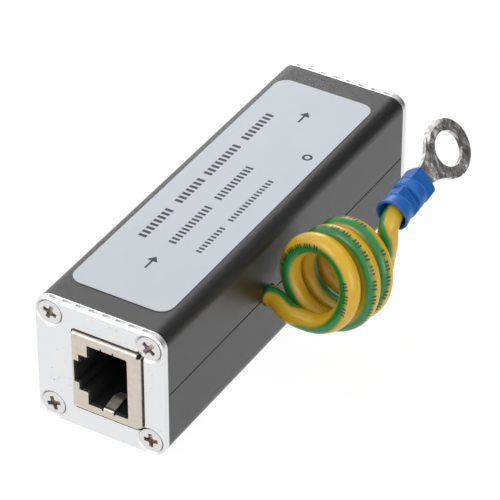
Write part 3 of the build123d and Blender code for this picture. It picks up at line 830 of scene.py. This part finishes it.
# %% Gas tube finish
tube_look = Look("gas_tube")
tube_place = tube_look.place()
tube_level = tube_look.parts_of(tube_place)[2]
tube_pitch = 11.05 * MM
first_tube_level = 6.975 * MM
cap_edge = (2.65 * MM, 2.75 * MM)
band_edge = (0.55 * MM, 0.65 * MM)
tube_height = abs((tube_level - first_tube_level + tube_pitch / 2) % tube_pitch - tube_pitch / 2)
metal_cap = tube_look.between(tube_height, *cap_edge)
metal_band = 1 - tube_look.between(tube_height, *band_edge)
metal = tube_look.node("ShaderNodeMath", {"operation": "MAXIMUM"}, [metal_cap, metal_band])
tube_wear = tube_look.noise(tube_place, scale=1500, detail=3, roughness=0.5)
tube_look.feed(
    Base_Color=tube_look.blend(metal, (0.74, 0.68, 0.62, 1), (0.60, 0.58, 0.55, 1)),
    Metallic=metal,
    Roughness=0.3 + 0.2 * tube_wear,
    Normal=tube_look.bump(tube_wear, distance=0.00003, strength=0.3),
)
dress(tube_look, "gas_tube_1", "gas_tube_2", "gas_tube_3", "gas_tube_4")

# %% Small parts of the board
diode_look = Look("diode_black")
diode_place = diode_look.place()
diode_grain = diode_look.noise(diode_place, scale=2600, detail=2, roughness=0.5)
diode_y = diode_look.parts_of(diode_place)[1]
diode_middle = 16.88 * MM
diode_end_edge = (2.28 * MM, 2.32 * MM)
diode_end = diode_look.between(abs(diode_y - diode_middle), *diode_end_edge)
diode_look.feed(
    Base_Color=diode_look.blend(diode_end, (0.02, 0.02, 0.021, 1), (0.7, 0.7, 0.7, 1)),
    Metallic=diode_end,
    Roughness=0.4 + 0.2 * diode_grain,
    Normal=diode_look.bump(diode_grain, distance=0.00003, strength=0.4),
)
dress(diode_look, "clamp_diodes")

resistor_look = Look("chip_resistor")
resistor_place = resistor_look.place()
resistor_grain = resistor_look.noise(resistor_place, scale=3000, detail=2, roughness=0.5)
resistor_y = resistor_look.parts_of(resistor_place)[1]
resistor_middle = -15.32 * MM
resistor_end_edge = (1.08 * MM, 1.12 * MM)
resistor_end = resistor_look.between(abs(resistor_y - resistor_middle), *resistor_end_edge)
resistor_look.feed(
    Base_Color=resistor_look.blend(resistor_end, (0.02, 0.02, 0.03, 1), (0.75, 0.75, 0.76, 1)),
    Metallic=resistor_end,
    Roughness=0.25 + 0.2 * resistor_grain,
)
dress(resistor_look, "line_resistors")

worn_metal(
    "solder",
    ("earth_solder_joint",),
    wear_scale=1600,
    dark=(0.6, 0.61, 0.63, 1),
    light=(0.8, 0.81, 0.83, 1),
    smoothest=0.15,
    spread=0.2,
)
worn_metal(
    "bare_copper",
    ("earth_lead_core", "terminal_core"),
    wear_scale=1600,
    dark=(0.62, 0.28, 0.14, 1),
    light=(0.83, 0.44, 0.26, 1),
    smoothest=0.22,
    spread=0.2,
)

# %% [markdown]
# ## The lead's insulation
#
# An earth lead has yellow and green stripes along it, moulded in one go, so the border between them is
# slightly soft. The map that was made with the tube gives the angle round the wire, with the twist in it,
# so a stripe is simply a range of that angle, found twice round the wire.

# %% Insulation finish
lead_look = Look("striped_insulation", Specular_IOR_Level=0.7)
lead_map = lead_look.node("ShaderNodeUVMap", {"uv_map": "along_and_round"}, [])
lead_along, lead_round = lead_look.parts_of(lead_map)[:2]
stripe_half = 0.17
border_half = 0.08
stripe_offset = abs((lead_round * 2 + 0.5) % 1.0 - 0.5)
green_stripe = 1 - lead_look.between(stripe_offset, stripe_half - border_half, stripe_half + border_half)
lead_wear = lead_look.noise(lead_look.place(), scale=700, detail=3, roughness=0.5)
yellow = lead_look.blend(lead_wear, (0.76, 0.44, 0.010, 1), (0.84, 0.52, 0.018, 1))
green = lead_look.blend(lead_wear, (0.005, 0.19, 0.030, 1), (0.010, 0.27, 0.050, 1))

# Plain strokes in small clusters stand where the real wire has its print, beside the green stripe
stroke_pitch = 0.0115
stroke_share = 0.5
cluster_pitch = 0.046
cluster_share = 0.72
mark_place = 0.14
mark_half_height = 0.075
mark_groups = ((0.18, 0.31), (0.47, 0.70), (1.02, 1.60), (2.10, 2.32), (2.40, 2.62))
in_group = 0.0
for first_mark, last_mark in mark_groups:
    in_group = (lead_along > first_mark) * (lead_along < last_mark) + in_group
dash = (lead_along % stroke_pitch < stroke_pitch * stroke_share) * in_group
dash = dash * (lead_along % cluster_pitch < cluster_pitch * cluster_share)
dash = dash * (abs((lead_round * 2 + 0.5 - mark_place) % 1.0 - 0.5) < mark_half_height)
striped = lead_look.blend(green_stripe, yellow, green)
lead_look.feed(
    Base_Color=lead_look.blend(dash * 0.92, striped, (0.01, 0.018, 0.006, 1)),
    Roughness=0.24 + 0.1 * lead_wear,
)
dress(lead_look, "earth_lead")

# Inside the case one plain border is enough: the lead is yellow below it and green above it
tail_look = Look("plain_insulation", Roughness=0.35)
tail_place = tail_look.place()
tail_level = tail_look.parts_of(tail_place)[2]
tail_border = (12.9 * MM, 13.1 * MM)
tail_green = tail_look.between(tail_level, *tail_border)
tail_look.feed(Base_Color=tail_look.blend(tail_green, (0.80, 0.54, 0.04, 1), (0.02, 0.24, 0.07, 1)))
dress(tail_look, "earth_lead_tail", "earth_lead_in", "earth_coil", "earth_lead_rise")

# %% [markdown]
# ## The terminal
#
# The ring is stamped from tinned copper, and tin goes dull and mottled with handling. One side of its edge
# rolls over a little. The sleeve is soft blue vinyl with a low shine and small pale scuffs.

# %% Ring finish
ring_look = Look("tinned_copper", Metallic=1.0)
ring_place = ring_look.place()
ring_centre = (exit_point + ring_middle) * MM
ring_left = (-0.859, -0.5115, 0)
rolled_width = (4.5 * MM, 5.5 * MM)
rolled_side = (0.2 * MM, 2.6 * MM)
neck_start = (2.2 * MM, 4.4 * MM)
from_centre = ring_look.vector_maths("SUBTRACT", [ring_place, tuple(ring_centre)])
out_of_face = ring_look.vector_maths("PROJECT", [from_centre, tuple(terminal_face)])
in_face = ring_look.vector_maths("SUBTRACT", [from_centre, out_of_face])
radial = ring_look.vector_maths("LENGTH", [in_face], "Value")
left_side = ring_look.vector_maths("DOT_PRODUCT", [in_face, ring_left], "Value")
along_neck = ring_look.vector_maths("DOT_PRODUCT", [in_face, tuple(terminal_direction)], "Value")
rolled_edge = ring_look.between(radial, *rolled_width) * ring_look.between(left_side, *rolled_side)
rolled_edge = rolled_edge * (1 - ring_look.between(along_neck, *neck_start))
mottle = ring_look.noise(ring_place, scale=300, detail=2, roughness=0.5)
fine_mottle = ring_look.noise(ring_place, scale=1500, detail=2, roughness=0.5)
speckle = ring_look.noise(ring_place, scale=1250, detail=4, roughness=0.8)
bright_specks = ring_look.between(speckle, 0.60, 0.66)
dull = ring_look.between(mottle, 0.40, 0.60)
tarnish = ring_look.between(fine_mottle, 0.44, 0.60) * 0.5
ring_tin = ring_look.blend(dull, (0.92, 0.91, 0.90, 1), (0.62, 0.59, 0.56, 1))
ring_tin = ring_look.blend(tarnish, ring_tin, (0.27, 0.25, 0.235, 1))
ring_height = mottle * 0.9 + fine_mottle * 0.05 - rolled_edge * 0.75
ring_look.feed(
    Base_Color=ring_look.blend(bright_specks, ring_tin, (0.92, 0.92, 0.93, 1)),
    Roughness=0.22 + 0.2 * fine_mottle + 0.25 * bright_specks,
    Normal=ring_look.bump(ring_height, distance=0.0005, strength=1.0),
)
dress(ring_look, "ring_terminal")

# %% Sleeve finish
sleeve_look = Look("blue_sleeve", Specular_IOR_Level=0.36)
sleeve_place = sleeve_look.place()
sleeve_wear = sleeve_look.noise(sleeve_place, scale=600, detail=3, roughness=0.5)
scuff_noise = sleeve_look.noise(sleeve_place, scale=900, detail=4, roughness=0.7)
sleeve_scuff = sleeve_look.between(scuff_noise, 0.60, 0.70)
sleeve_blue = sleeve_look.blend(sleeve_wear, (0.011, 0.125, 0.45, 1), (0.016, 0.155, 0.54, 1))
sleeve_look.feed(
    Base_Color=sleeve_look.blend(sleeve_scuff, sleeve_blue, (0.03, 0.20, 0.62, 1)),
    Roughness=0.28 + 0.18 * sleeve_wear,
    Normal=sleeve_look.bump(sleeve_wear * 0.7 + sleeve_scuff * 0.3, distance=0.00012, strength=0.5),
)
dress(sleeve_look, "terminal_sleeve", "crimped_sleeve")

# %% [markdown]
# ## The label
#
# The label is a printed film. Its lettering is left out. Plain strokes keep the places of its lines, an
# arrow stands at each end and a small ring beside them, so that the top still reads as a printed plate.

# %% Label finish
label_look = Look("label_film", Specular_IOR_Level=0.35)
label_place = label_look.place()
label_x, label_y = label_look.parts_of(label_place)[:2]
film_grain = label_look.noise(label_place, scale=1400, detail=3, roughness=0.5)
along_film = label_look.stretched(label_place, (1, 0.5, 1))
film_cloud = label_look.noise(along_film, scale=150, detail=4, roughness=0.6)


def bar(x_low, x_high, y_low, y_high):
    """1 inside one rectangle of the label, given in millimetres."""
    x_half, y_half = (x_high - x_low) / 2 * MM, (y_high - y_low) / 2 * MM
    x_middle, y_middle = (x_high + x_low) / 2 * MM, (y_high + y_low) / 2 * MM
    inside_x = abs(label_x - x_middle) < x_half
    inside_y = abs(label_y - y_middle) < y_half
    return inside_x * inside_y


def strokes(x_low, x_high, pitch, duty, words):
    """A line of plain upright strokes, in millimetres; each word is a pair of ends along the label."""
    total = 0.0
    for start, end in words:
        last_end = start + (round((end - start) / pitch) - 1 + duty) * pitch
        in_step = (label_y - start * MM) % (pitch * MM) < pitch * duty * MM
        total = bar(x_low, x_high, start, last_end) * in_step + total
    return total


def arrow(x_middle, y_tail, y_tip):
    """A plain arrow along the label, from its tail to its tip, in millimetres."""
    way = 1 if y_tip > y_tail else -1
    shaft_end = y_tip - way
    shaft_ends = sorted((y_tail, shaft_end))
    shaft = bar(x_middle - shaft_half_width, x_middle + shaft_half_width, *shaft_ends)
    to_tip = (y_tip * MM - label_y) * way
    beside_shaft = abs(label_x - x_middle * MM)
    head = (to_tip > 0) * (to_tip < head_length * MM) * (beside_shaft < to_tip * head_slope)
    return shaft + head


def ring_mark(x_middle, y_middle, bore, radius):
    """A plain ring on the label, in millimetres."""
    away_x = label_x - x_middle * MM
    away_y = label_y - y_middle * MM
    away = (away_x * away_x + away_y * away_y) ** 0.5
    return (away > bore * MM) * (away < radius * MM)


shaft_half_width = 0.2
head_length = 1.4
head_slope = 0.75
title_words = ((-19, -8.8), (-7.4, 0.8), (2.2, 13.4), (14.8, 25))
middle_words = ((-18, -5.4), (-3.2, 8.5))
lower_words = ((-18, -9.0), (-7.6, 6.7))
print_mask = (
    strokes(x_low=-6.5, x_high=-4.9, pitch=1.2, duty=0.56, words=title_words)
    + strokes(x_low=-1.1, x_high=0.4, pitch=1.05, duty=0.52, words=middle_words)
    + strokes(x_low=4.3, x_high=5.4, pitch=0.95, duty=0.5, words=lower_words)
    + ring_mark(x_middle=6.7, y_middle=15.5, bore=0.5, radius=0.95)
    + arrow(x_middle=-0.5, y_tail=-26.2, y_tip=-22.6)
    + arrow(x_middle=-0.2, y_tail=24.2, y_tip=27.8)
)
print_mask = label_look.node("ShaderNodeMath", {"operation": "MINIMUM"}, [print_mask, 1.0])
film = label_look.blend(film_cloud, (0.58, 0.625, 0.68, 1), (0.645, 0.685, 0.735, 1))
label_look.feed(
    Base_Color=label_look.blend(print_mask, film, (0.008, 0.009, 0.013, 1)),
    Roughness=0.35 + 0.1 * film_grain,
)
dress(label_look, "top_label")
